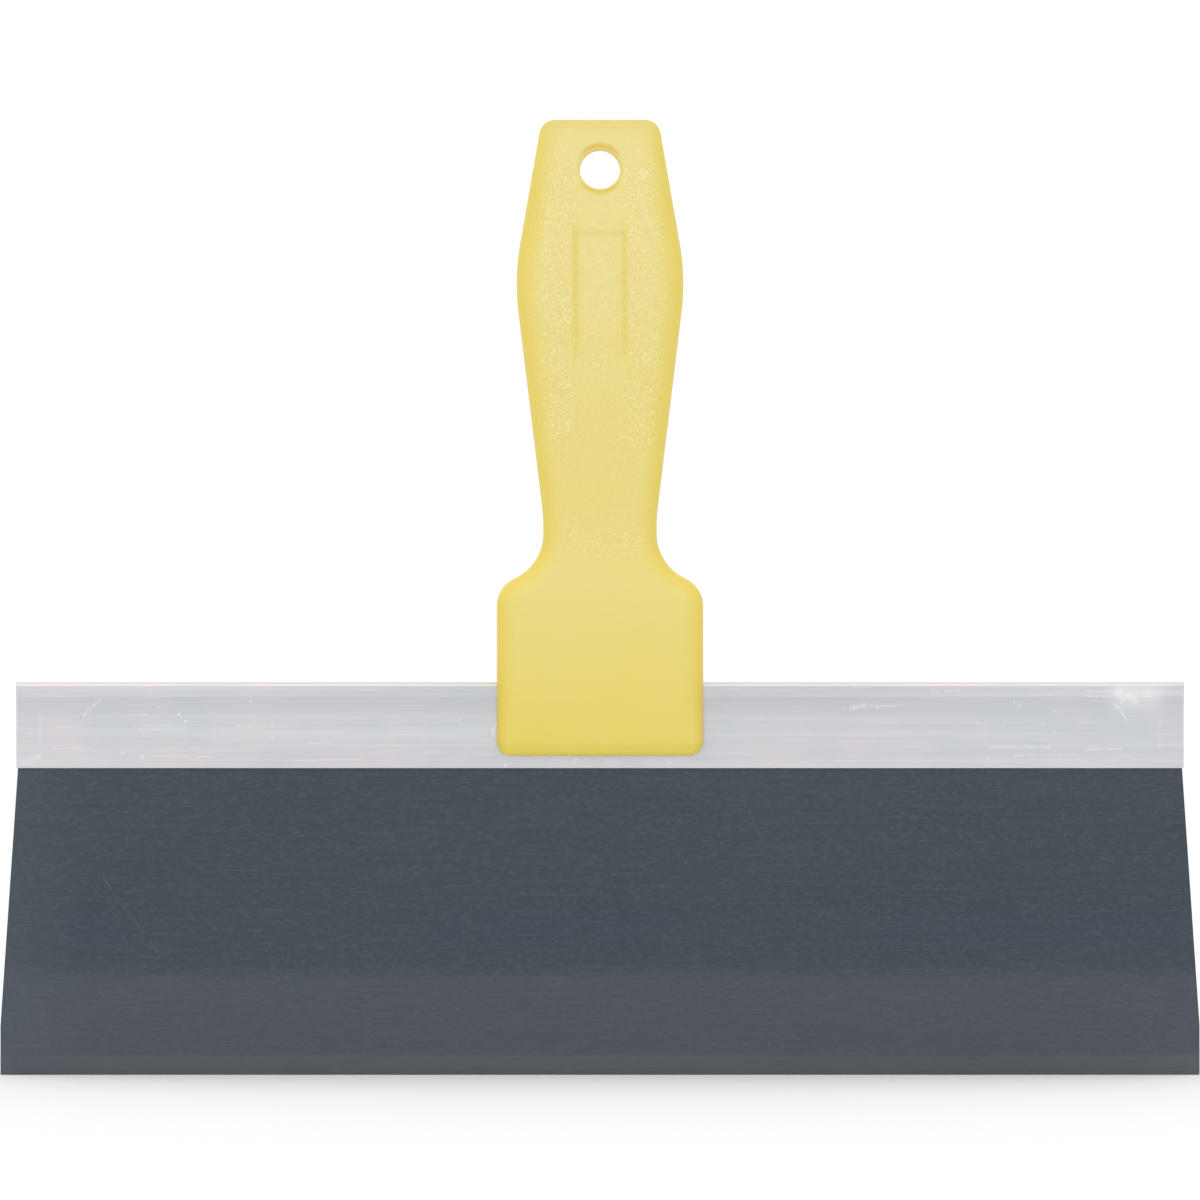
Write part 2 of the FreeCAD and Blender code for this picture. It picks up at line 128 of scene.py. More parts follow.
def far_from(points, others, distance):
    """Which points keep that distance from every other point."""
    keep = np.ones(len(points), bool)
    for i in range(0, len(points), 500):
        gaps = points[i : i + 500, None, :] - others[None, :, :]
        keep[i : i + 500] = (gaps**2).sum(axis=2).min(axis=1) > distance**2
    return keep


def staggered_grid(low, high, pitch):
    """Points of a triangular grid over a box, in rows 0.866 of the pitch apart."""
    rows = np.arange(low[1], high[1], pitch * 0.866)
    cols = np.arange(low[0], high[0], pitch)
    return np.array([(x + (i % 2) * pitch / 2, y) for i, y in enumerate(rows) for x in cols])


class Shell:
    """A mesh in the making, in millimetres."""

    def __init__(self):
        self.points = []
        self.faces = []

    def ring(self, coordinates):
        """Adds a closed ring of points and returns their numbers."""
        first = len(self.points)
        self.points.extend(tuple(float(c) for c in point) for point in coordinates)
        return list(range(first, len(self.points)))

    def strip(self, one, other):
        """Joins two rings of equal length with four-sided faces."""
        count = len(one)
        for i in range(count):
            j = (i + 1) % count
            self.faces.append((one[i], one[j], other[j], other[i]))

    def loft(self, rings):
        """Joins each ring to the next."""
        for one, other in zip(rings, rings[1:]):
            self.strip(one, other)

    def fill(self, outer, holes, extra, depth):
        """Meshes the face bounded by the outer ring and the holes, through the extra points.

        Everything is seen from the front, as (x, z); depth gives y for new points.
        """
        flat = np.array(self.points)[:, [0, 2]]
        loops = [outer] + holes
        ids = [i for loop in loops for i in loop]
        bounds = [flat[loop] for loop in loops]
        extra = extra[inside(extra, bounds[0])]
        for hole in bounds[1:]:
            extra = extra[~inside(extra, hole)]
        new = self.ring((x, depth(x, z), z) for x, z in extra)
        ids += new
        spots = np.vstack(bounds + [extra])
        edges, first = [], 0
        for loop in loops:
            count = len(loop)
            edges += [(first + i, first + (i + 1) % count) for i in range(count)]
            first += count
        result = delaunay_2d_cdt([Vector(p) for p in spots], edges, [], 0, 1e-7, True)
        verts, _, faces, sources, _, _ = result
        number = [ids[s[0]] if s else None for s in sources]
        corners = np.array([list(f) for f in faces])
        places = np.array([tuple(v) for v in verts])
        middles = places[corners].mean(axis=1)
        keep = inside(middles, bounds[0])
        for hole in bounds[1:]:
            keep &= ~inside(middles, hole)
        for triangle in corners[keep]:
            self.faces.append(tuple(number[i] for i in triangle))

    def build(self, name):
        mesh = bpy.data.meshes.new(name)
        mesh.from_pydata([Vector(p) * MM for p in self.points], [], self.faces)
        work = bmesh.new()
        work.from_mesh(mesh)
        bmesh.ops.remove_doubles(work, verts=work.verts, dist=1e-7)
        bmesh.ops.recalc_face_normals(work, faces=work.faces)
        work.to_mesh(mesh)
        work.free()
        item = bpy.data.objects.new(name, mesh)
        bpy.context.scene.collection.objects.link(item)
        return item


def prism(name, loop, low, high):
    """A straight prism along X, through a loop of (y, z)."""
    shell = Shell()
    ends = [shell.ring((x, y, z) for y, z in loop) for x in (low, high)]
    shell.strip(*ends)
    shell.faces += [tuple(ends[0]), tuple(reversed(ends[1]))]
    return shell.build(name)


def drill(name, spots, radius, front, back, sides=48):
    """Round bars along Y, to be cut out of a piece."""
    shell = Shell()
    for x, z in spots:
        turns = [2 * math.pi * i / sides for i in range(sides)]
        rings = [
            shell.ring((x + radius * math.cos(t), y, z + radius * math.sin(t)) for t in turns)
            for y in (front, back)
        ]
        shell.strip(*rings)
        shell.faces += [tuple(rings[0]), tuple(reversed(rings[1]))]
    return shell.build(name)


def cut_away(item, tools):
    """Takes the tools out of the item's mesh, then deletes them."""
    for tool in tools:
        modifier = item.modifiers.new(tool.name, "BOOLEAN")
        modifier.operation = "DIFFERENCE"
        modifier.solver = "EXACT"
        modifier.object = tool
    graph = bpy.context.evaluated_depsgraph_get()
    result = bpy.data.meshes.new_from_object(item.evaluated_get(graph))
    item.modifiers.clear()
    old, item.data = item.data, result
    result.name = item.name
    bpy.data.meshes.remove(old)
    for tool in tools:
        mesh = tool.data
        bpy.data.objects.remove(tool)
        bpy.data.meshes.remove(mesh)


def smooth(item, angle):
    """Smooth shading, with edges sharper than the angle, in degrees, kept crisp."""
    item.data.shade_smooth()
    item.data.set_sharp_from_angle(angle=math.radians(angle))


def soft_step(value, low, high):
    """Rises smoothly from nothing at low to one at high."""
    share = np.clip((value - low) / (high - low), 0.0, 1.0)
    return share * share * (3 - 2 * share)


# ---------------------------------------------------------------- sections shared by the pieces

BAR_LOW, BAR_HIGH = node_box("backing_bar")


def rivet_spots(kind):
    """Centres (x, z) of one kind of rivet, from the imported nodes."""
    boxes = [node_box(name) for name in sorted(NODES) if name.startswith(kind)]
    return [tuple(((low + high) / 2)[[0, 2]]) for low, high in boxes]


HANDLE_RIVETS = rivet_spots("handle_rivet")
BLADE_RIVETS = rivet_spots("blade_rivet")
HANDLE_HOLE, BLADE_HOLE = 2.02, 1.52
# How far forward the blind holes reach, and a depth beyond the bar on either side.
HANDLE_HOLE_END, BLADE_HOLE_END, BEYOND_BAR = -4.6, -1.1, 5.0

LIP_HALF_DEPTH, BAR_BOTTOM = 1.5, 78.0
SPINE_HALF_DEPTH, SPINE_BOTTOM, BAR_TOP = 2.6, 96.0, 99.8
# Corners of the bar's section behind its middle plane: (half depth, height, rounding).
BAR_FLANK = [
    (LIP_HALF_DEPTH, BAR_BOTTOM, None),
    (1.75, 92.6, 20.0),
    (2.25, SPINE_BOTTOM, None),
    (SPINE_HALF_DEPTH, SPINE_BOTTOM, None),
    (SPINE_HALF_DEPTH, BAR_TOP, 1.1),
    (0.0, BAR_TOP, None),
]


# ---------------------------------------------------------------- handle

HANDLE_BOTTOM, HANDLE_TOP = 81.1, 242.6
BASE_HALF_WIDTH, NECK_HALF_WIDTH = 26.2, 14.4
SWELL_HALF_WIDTH, SWELL_HEIGHT = 21.8, 202.5
TOP_HALF_WIDTH = 14.78
# How fast the half width grows from the top down to the swell.
TOP_TAPER = (SWELL_HALF_WIDTH - TOP_HALF_WIDTH) / (HANDLE_TOP - SWELL_HEIGHT)
# Corners of the outline seen from the front: (half width, height, rounding).
FRONT_FLANK = [
    (0.0, HANDLE_BOTTOM, None),
    (BASE_HALF_WIDTH, HANDLE_BOTTOM, 3.6),
    (BASE_HALF_WIDTH, 123.91, 7.6),
    (NECK_HALF_WIDTH, 129.84, 12.6),
    (NECK_HALF_WIDTH, 141.66, 50.0),
    (SWELL_HALF_WIDTH, SWELL_HEIGHT, 60.0),
    (TOP_HALF_WIDTH, HANDLE_TOP, 4.0),
    (0.0, HANDLE_TOP, None),
]
# Corners of the outline seen from the side: (half depth, height, rounding).
SIDE_FLANK = [
    (5.7, HANDLE_BOTTOM, None),
    (8.0, 99.0, 120.0),
    (8.9, 117.0, 80.0),
    (7.4, 139.0, 120.0),
    (10.6, 200.0, 190.0),
    (6.9, HANDLE_TOP, None),
]
# How the long edges are rounded: (height, radius).
EDGE_RADII = np.array(
    [(84.8, 3.3), (94.0, 5.4), (146.3, 5.4), (186.0, 7.2), (214.0, 7.2), (239.0, 3.6)]
)
HANG_HEIGHT, HANG_RADIUS, HANG_RIM, HANG_SIDES = 230.0, 5.15, 1.2, 72
SEAT_RADIUS, SEAT_RIM, SEAT_DEPTH, SEAT_SIDES = 4.0, 0.4, 4.6, 48
# The label panel, and the slightly raised field inside it.
LABEL_HALF_WIDTH, LABEL_BOTTOM, LABEL_TOP = 7.15, 175.9, 214.6
LABEL_DEPTH, LABEL_DEEPENING = 0.42, 0.18
FIELD_HALF_WIDTH, FIELD_BOTTOM, FIELD_TOP, FIELD_RISE = 4.9, 180.5, 205.5, 0.1
# How far apart the points of the mesh stand, on the grip and round the label panel.
COARSE_PITCH, FINE_PITCH = 1.7, 0.42

SIDE_POINTS, _ = rounded_path(SIDE_FLANK, 0.4)
# Keeps the mesh inside the CAD box where the two are rounded differently.
SHRINK = 0.001


def half_depth(z):
    """Half of the handle's depth at a height."""
    return np.interp(z, SIDE_POINTS[:, 1], SIDE_POINTS[:, 0]) - SHRINK


def label_recess(x, z):
    """How far the label panel lies below the grip: soft side walls, a crisper top, a raised field."""
    across = soft_step(LABEL_HALF_WIDTH + 0.1 - np.abs(x), 0.0, 1.9)
    up = soft_step(LABEL_TOP - z, 0.0, 2.2) * soft_step(z - LABEL_BOTTOM, 0.0, 7.0)
    level = LABEL_DEPTH + LABEL_DEEPENING * soft_step(z, LABEL_BOTTOM, LABEL_TOP - 14.0)
    field = soft_step(FIELD_HALF_WIDTH - np.abs(x), 0.0, 0.6) * soft_step(FIELD_TOP - z, 0.0, 0.6)
    field = field * soft_step(z - FIELD_BOTTOM, 0.0, 1.0)
    return level * across * up - FIELD_RISE * field


def front_depth(x, z):
    return -(half_depth(z) - label_recess(x, z))


def back_depth(x, z):
    return half_depth(z)


def make_handle():
    outline, normals = closed_by_mirror(*rounded_path(FRONT_FLANK, 1.0))
    radius = np.interp(outline[:, 1], EDGE_RADII[:, 0], EDGE_RADII[:, 1])
    shell = Shell()

    def edge_ring(angle, side):
        inset = radius * (1 - math.cos(angle))
        spots = outline - normals * inset[:, None]
        drop = radius * (1 - math.sin(angle))
        y = side * (half_depth(spots[:, 1]) - drop)
        return shell.ring(np.column_stack([spots[:, 0], y, spots[:, 1]]))

    def wall_ring(share):
        y = (half_depth(outline[:, 1]) - radius) * share
        return shell.ring(np.column_stack([outline[:, 0], y, outline[:, 1]]))

    # The outside: the front's rounded edge, the walls and the back's rounded edge.
    angles = [math.pi / 2 * i / 10 for i in range(11)]
    front = [edge_ring(a, -1) for a in reversed(angles)]
    walls = [wall_ring(share) for share in np.linspace(-1, 1, 7)[1:-1]]
    back = [edge_ring(a, 1) for a in angles]
    shell.loft(front + walls + back)

    def round_ring(centre, ring_radius, depth_at, sides):
        turns = np.arange(sides) * 2 * math.pi / sides
        x = centre[0] + ring_radius * np.cos(turns)
        z = centre[1] + ring_radius * np.sin(turns)
        return shell.ring(np.column_stack([x, depth_at(z), z]))

    def rim(centre, hole_radius, rim_radius, side, sides, steps):
        """Rings over a rounded rim, from the surface down into the hole."""
        rings = []
        for angle in np.linspace(0, math.pi / 2, steps + 1):
            out = hole_radius + rim_radius * (1 - math.sin(angle))
            drop = rim_radius * (1 - math.cos(angle))
            rings.append(
                round_ring(centre, out, lambda z, d=drop: side * (half_depth(z) - d), sides)
            )
        return rings

    hang = (0.0, HANG_HEIGHT)
    hang_front = rim(hang, HANG_RADIUS, HANG_RIM, -1, HANG_SIDES, 8)
    hang_back = rim(hang, HANG_RADIUS, HANG_RIM, 1, HANG_SIDES, 8)
    tube = [
        round_ring(hang, HANG_RADIUS, lambda z, s=share: (half_depth(z) - HANG_RIM) * s, HANG_SIDES)
        for share in np.linspace(-1, 1, 9)[1:-1]
    ]
    shell.loft(hang_front + tube + hang_back[::-1])

    # The wells that the rivet heads sit in.
    seat_rims = []
    for centre in HANDLE_RIVETS:
        rings = rim(centre, SEAT_RADIUS, SEAT_RIM, 1, SEAT_SIDES, 4)
        well = [(SEAT_RADIUS, SEAT_DEPTH + 0.5), (SEAT_RADIUS, SEAT_DEPTH), (2.6, SEAT_DEPTH)]
        for ring_radius, y in well:
            rings.append(
                round_ring(centre, ring_radius, lambda z, y=y: np.full_like(z, y), SEAT_SIDES)
            )
        shell.loft(rings)
        shell.faces.append(tuple(rings[-1]))
        seat_rims.append(rings[0])

    # The front and back faces, with finer triangles round the label panel.
    coarse = staggered_grid((-24.0, 82.0), (24.0, 242.0), COARSE_PITCH)
    fine_low, fine_high = (-8.3, LABEL_BOTTOM - 1.2), (8.4, LABEL_TOP + 1.2)
    fine = staggered_grid(fine_low, fine_high, FINE_PITCH)
    points = np.array(shell.points)[:, [0, 2]]

    def clear_of(grid, rings, distance):
        return grid[far_from(grid, np.vstack([points[ring] for ring in rings]), distance)]

    front_loops = [front[0], hang_front[0]]
    front_grid = clear_of(coarse, front_loops, 1.0)
    front_grid = front_grid[far_from(front_grid, fine, 1.0)]
    shell.fill(front[0], [hang_front[0]], np.vstack([front_grid, fine]), front_depth)
    back_loops = [back[-1], hang_back[0]] + seat_rims
    back_grid = clear_of(coarse, back_loops, 1.0)
    shell.fill(back[-1], [hang_back[0]] + seat_rims, back_grid, back_depth)

    # The fork's slot and the rivet holes are cut out of the closed shape.
    handle = shell.build("handle_moulding")
    flank, _ = rounded_path(BAR_FLANK, 0.3)
    loop = np.vstack([flank, flank[-2::-1] * (-1, 1)])
    socket = prism("socket_tool", loop, -30.0, 30.0)
    shanks = drill("shank_tool", HANDLE_RIVETS, HANDLE_HOLE, HANDLE_HOLE_END, SEAT_DEPTH + 0.2)
    cut_away(handle, [socket, shanks])
    smooth(handle, 40)
    return handle


# ---------------------------------------------------------------- backing bar

# Faint grooves that the die left along the bar: (height, depth, half width).
DIE_LINES = [(84.0, 0.05, 0.16), (79.1, 0.04, 0.12), (88.2, 0.02, 0.1), (98.1, 0.03, 0.12)]
END_BREAK = 0.3
SLOT_HALF, SLOT_ROOF = 0.25, 92.0


def make_bar():
    flank, normals = rounded_path(BAR_FLANK, 0.18)
    depth = np.zeros(len(flank))
    for level, sink, width in DIE_LINES:
        depth += sink * np.exp(-(((flank[:, 1] - level) / width) ** 2))
    # Only the upright faces carry die lines, and not along their lowest edge.
    depth[(np.abs(normals[:, 0]) < 0.8) | (flank[:, 1] < BAR_BOTTOM + 0.3)] = 0.0
    flank = flank - normals * depth[:, None]
    slot_corners = [
        (0.0, SLOT_ROOF, None),
        (SLOT_HALF, SLOT_ROOF, None),
        (SLOT_HALF, BAR_BOTTOM, None),
        (LIP_HALF_DEPTH, BAR_BOTTOM, None),
    ]
    slot, slot_normals = rounded_path(slot_corners, 0.7)
    half = np.vstack([slot, flank[1:]])
    half_normals = np.vstack([slot_normals, normals[1:]])
    loop, loop_normals = closed_by_mirror(half, half_normals)
    low, high = BAR_LOW[0], BAR_HIGH[0]
    shell = Shell()

    def section(x, inset):
        spots = loop - loop_normals * inset
        return shell.ring(np.column_stack([np.full(len(spots), x), spots[:, 0], spots[:, 1]]))

    stations = [(low, END_BREAK * 0.5), (low + END_BREAK * 0.3, END_BREAK * 0.15),
                (low + END_BREAK, 0.0)]
    middle = [(x, 0.0) for x in np.linspace(low + 4, high - 4, 75)]
    ends = [(low + high - x, inset) for x, inset in reversed(stations)]
    rings = [section(x, inset) for x, inset in stations + middle + ends]
    shell.loft(rings)
    shell.faces += [tuple(rings[0]), tuple(reversed(rings[-1]))]
    bar = shell.build("bar_extrusion")
    cut_away(bar, [
        drill("through_tool", HANDLE_RIVETS, HANDLE_HOLE, -BEYOND_BAR, BEYOND_BAR),
        drill("blind_tool", BLADE_RIVETS, BLADE_HOLE, BLADE_HOLE_END, BEYOND_BAR),
    ])
    smooth(bar, 30)
    return bar


# ---------------------------------------------------------------- shader tools


def linear(red, green, blue):
    """Scene-linear colour of an 8-bit display colour."""
    def one(value):
        share = value / 255
        return share / 12.92 if share <= 0.04045 else ((share + 0.055) / 1.055) ** 2.4
    return (one(red), one(green), one(blue), 1.0)


class Finish:
    """A material in the making: small calls that add nodes and return their output."""

    def __init__(self, name):
        self.material = bpy.data.materials.new(name)
        self.material.use_nodes = True
        self.tree = self.material.node_tree
        self.shader = self.tree.nodes["Principled BSDF"]
        self.place = self.node("ShaderNodeTexCoord").outputs["Object"]
        self.parts = None

    def node(self, kind, **settings):
        made = self.tree.nodes.new(kind)
        for key, value in settings.items():
            setattr(made, key, value)
        return made

    def feed(self, socket, value):
        if isinstance(value, bpy.types.NodeSocket):
            self.tree.links.new(value, socket)
        elif value is not None:
            socket.default_value = value

    def set(self, **values):
        """Sets or links the shader's own sockets, named with underscores for spaces."""
        for key, value in values.items():
            self.feed(self.shader.inputs[key.replace("_", " ")], value)

    def axis(self, letter):
        if self.parts is None:
            self.parts = self.node("ShaderNodeSeparateXYZ")
            self.feed(self.parts.inputs[0], self.place)
        return self.parts.outputs[letter]

    def math(self, operation, one, two=None, clamp=False):
        made = self.node("ShaderNodeMath", operation=operation, use_clamp=clamp)
        self.feed(made.inputs[0], one)
        self.feed(made.inputs[1], two)
        return made.outputs[0]

    def times(self, one, two, clamp=False):
        return self.math("MULTIPLY", one, two, clamp)

    def larger(self, one, two, clamp=False):
        return self.math("MAXIMUM", one, two, clamp)

    def step(self, value, low, high, start=0.0, end=1.0):
        """A smooth step from start at low to end at high."""
        made = self.node("ShaderNodeMapRange", interpolation_type="SMOOTHSTEP")
        for number, each in enumerate((value, low, high, start, end)):
            self.feed(made.inputs[number], each)
        return made.outputs[0]

    def band(self, value, low, high, soft):
        """One between low and high, falling to nothing over soft outside them."""
        rise = self.step(value, low - soft, low)
        fall = self.step(value, high, high + soft, 1.0, 0.0)
        return self.times(rise, fall)

    def slope(self, place, low, high, start=0.0, end=1.0):
        """A smooth step between two places, in millimetres."""
        return self.step(place, low * MM, high * MM, start, end)

    def zone(self, place, low, high, soft):
        """A band between two places, in millimetres."""
        return self.band(place, low * MM, high * MM, soft * MM)

    def moved(self, scale=(1, 1, 1), turn=(0, 0, 0), shift=(0, 0, 0)):
        made = self.node("ShaderNodeMapping")
        self.feed(made.inputs["Vector"], self.place)
        self.feed(made.inputs["Scale"], scale)
        self.feed(made.inputs["Rotation"], turn)
        self.feed(made.inputs["Location"], shift)
        return made.outputs[0]

    def noise(self, scale, detail=2.0, roughness=0.5, distortion=0.0, vector=None):
        made = self.node("ShaderNodeTexNoise")
        self.feed(made.inputs["Vector"], self.place if vector is None else vector)
        self.feed(made.inputs["Scale"], scale)
        self.feed(made.inputs["Detail"], detail)
        self.feed(made.inputs["Roughness"], roughness)
        self.feed(made.inputs["Distortion"], distortion)
        return made.outputs["Fac"]

    def cells(self, scale, feature="F1", randomness=1.0, smoothness=None, vector=None):
        made = self.node("ShaderNodeTexVoronoi", feature=feature)
        self.feed(made.inputs["Vector"], self.place if vector is None else vector)
        self.feed(made.inputs["Scale"], scale)
        self.feed(made.inputs["Randomness"], randomness)
        if smoothness is not None:
            self.feed(made.inputs["Smoothness"], smoothness)
        return made.outputs["Distance"]

    def blend(self, share, one, two):
        """Mixes two colours, through the mix node's own colour sockets."""
        made = self.node("ShaderNodeMix", data_type="RGBA", blend_type="MIX")
        self.feed(made.inputs[0], share)
        self.feed(made.inputs[6], one)
        self.feed(made.inputs[7], two)
        return made.outputs[2]

    def ramp(self, value, stops, interpolation="LINEAR"):
        """A colour that follows a height in millimetres through (height, colour) stops."""
        low, high = stops[0][0], stops[-1][0]
        span = self.node("ShaderNodeMapRange")
        for number, each in enumerate((value, low * MM, high * MM)):
            self.feed(span.inputs[number], each)
        made = self.node("ShaderNodeValToRGB")
        made.color_ramp.interpolation = interpolation
        elements = made.color_ramp.elements
        for _ in range(len(stops) - 2):
            elements.new(0.5)
        for element, (height, shade) in zip(elements, stops):
            element.position = (height - low) / (high - low)
            element.color = shade
        self.feed(made.inputs[0], span.outputs[0])
        return made.outputs[0]

    def marks(self, strokes, sway=0.0):
        """Straight marks seen from the front, each (x, z, to_x, to_z, half width, weight).

        All lengths are in millimetres. Sway is how far a noise pushes the marks along the bar, and a
        quarter as far up.
        """
        flat = self.vector("MULTIPLY", self.place, (1.0, 0.0, 1.0))
        if sway:
            cloud = self.node("ShaderNodeTexNoise")
            self.feed(cloud.inputs["Vector"], self.place)
            self.feed(cloud.inputs["Scale"], 850.0)
            push = self.vector("SUBTRACT", cloud.outputs["Color"], (0.5, 0.5, 0.5))
            push = self.vector("MULTIPLY", push, (sway * MM, 0.0, sway * MM / 4))
            flat = self.vector("ADD", flat, push)
        total = None
        for x, z, to_x, to_z, width, weight in strokes:
            start = Vector((x, 0.0, z)) * MM
            way = Vector((to_x - x, 0.0, to_z - z)) * MM
            offset = self.vector("SUBTRACT", flat, start)
            along = self.vector("DOT_PRODUCT", offset, way / way.length_squared)
            along = self.math("ADD", along, 0.0, clamp=True)
            reach = self.node("ShaderNodeVectorMath", operation="SCALE")
            self.feed(reach.inputs[0], way)
            self.feed(reach.inputs["Scale"], along)
            gap = self.vector("SUBTRACT", offset, reach.outputs[0])
            distance = self.vector("LENGTH", gap)
            mark = self.step(distance, 0.0, width * MM, weight, 0.0)
            total = mark if total is None else self.larger(total, mark)
        return total

    def vector(self, operation, one, two=None):
        made = self.node("ShaderNodeVectorMath", operation=operation)
        self.feed(made.inputs[0], one)
        self.feed(made.inputs[1], two)
        return made.outputs["Value" if operation in ("DOT_PRODUCT", "LENGTH") else "Vector"]

    def bump(self, height, strength, distance):
        """Relief from a height, with its distance in millimetres."""
        made = self.node("ShaderNodeBump")
        self.feed(made.inputs["Height"], height)
        self.feed(made.inputs["Strength"], strength)
        self.feed(made.inputs["Distance"], distance * MM)
        return made.outputs[0]


# How much brighter than its base colour the plastic shows on a face turned to the front.
PLASTIC_GAIN = (1.075, 1.078, 1.13)
# Display colours by height, from the bottom up. They grow paler upwards: a painted sheen that
# stands for the top-front light's reflection on the upper grip.
HANDLE_TONES = [
    (82, (232, 214, 99)), (100, (235, 215, 110)), (115, (235, 217, 124)), (124, (235, 219, 136)),
    (145, (235, 218, 133)), (168, (235, 220, 139)), (195, (236, 222, 147)), (214, (237, 223, 153)),
    (234, (237, 222, 151)), (241, (234, 219, 148)),
]
# Display colours by height, from the edge up. The ground edge below 5 mm is lighter, partly its
# grinding and partly painted light that makes up for the shadowed floor it reflects.
BLADE_TONES = [
    (0, (95, 101, 106)), (5, (95, 101, 106)), (6, (86, 92, 98)), (24, (82, 89, 95)), (28, (73, 82, 89)),
    (40, (71, 80, 88)), (46, (72, 79, 86)), (70, (72, 79, 86)), (78, (73, 80, 87)),
]
# Wear on the front, as straight marks and as round specks, in millimetres.
BAR_MARKS = [
    (131.5, 97.0, 135.5, 95.6, 2.4, 0.5), (123.7, 97.5, 148.0, 97.4, 0.6, 0.3),
    (124.0, 96.3, 140.0, 96.2, 0.5, 0.35), (131.3, 94.1, 133.7, 90.1, 0.35, 0.6),
    (-146.8, 79.2, -143.0, 80.8, 1.5, 0.4), (-131.2, 91.4, -126.8, 95.7, 0.35, 0.45),
    (-27.5, 85.8, -26.4, 89.4, 0.35, 0.5), (-24.3, 78.5, -23.9, 79.3, 0.35, 0.8),
    (-12.9, 78.4, -12.2, 79.6, 0.3, 0.5), (-6.6, 79.2, -5.8, 80.4, 0.3, 0.4),
    (1.2, 79.2, 2.2, 80.5, 0.3, 0.35), (16.9, 80.1, 18.0, 79.0, 0.3, 0.4),
    (-119.3, 91.6, -115.0, 91.6, 0.3, 0.35), (-118.0, 88.7, -105.0, 88.8, 0.4, 0.25),
    (-117.5, 87.7, -104.5, 87.8, 0.3, 0.35), (-92.0, 88.9, -79.5, 88.9, 0.45, 0.3),
    (-139.0, 83.0, -129.5, 83.0, 0.3, 0.35), (-114.0, 80.9, -98.5, 80.9, 0.3, 0.4),
    (68.6, 93.8, 75.0, 93.8, 0.35, 0.4), (84.1, 97.6, 91.0, 97.6, 0.35, 0.35),
    (98.6, 83.3, 114.1, 83.3, 0.35, 0.4), (123.7, 82.7, 132.3, 82.9, 0.35, 0.4),
    (105.5, 81.3, 121.5, 81.3, 0.4, 0.25), (98.0, 84.0, 98.1, 90.0, 0.8, 0.1),
    (-98.1, 84.0, -98.0, 90.0, 0.8, 0.1), (142.1, 83.6, 142.2, 90.0, 0.8, 0.1),
    (-142.3, 84.5, -142.2, 91.5, 0.8, 0.12), (63.8, 93.2, 67.4, 94.0, 0.9, 0.45),
]
BAR_SPECKS = [
    (-141.3, 90.6, 0.7), (-107.0, 91.7, 0.9), (-105.2, 89.8, 0.7), (-121.2, 82.0, 0.6),
    (-116.1, 80.9, 0.7), (-88.8, 94.8, 0.8), (-140.0, 97.4, 0.6), (105.0, 94.7, 0.8),
    (106.6, 93.9, 0.6), (112.3, 89.1, 0.7), (115.1, 87.1, 0.6), (98.5, 80.5, 0.5),
    (132.4, 94.6, 0.9), (61.9, 93.1, 0.8), (70.3, 93.2, 0.7),
]
SPECK_RADIUS = 0.48
BLADE_MARKS = [
    (-127.0, 51.0, -110.5, 28.5, 0.35, 0.22), (-92.0, 44.0, -84.0, 33.0, 0.35, 0.1),
    (38.0, 67.5, 40.5, 61.0, 0.3, 0.14), (96.0, 58.0, 104.0, 55.0, 0.3, 0.08),
    (-48.0, 22.0, -40.0, 17.5, 0.3, 0.08),
]


def plastic(red, green, blue):
    """Base colour of the plastic that shows as this display colour on a face turned to the front."""
    shade = linear(red, green, blue)
    return tuple(part / gain for part, gain in zip(shade, PLASTIC_GAIN)) + (1.0,)


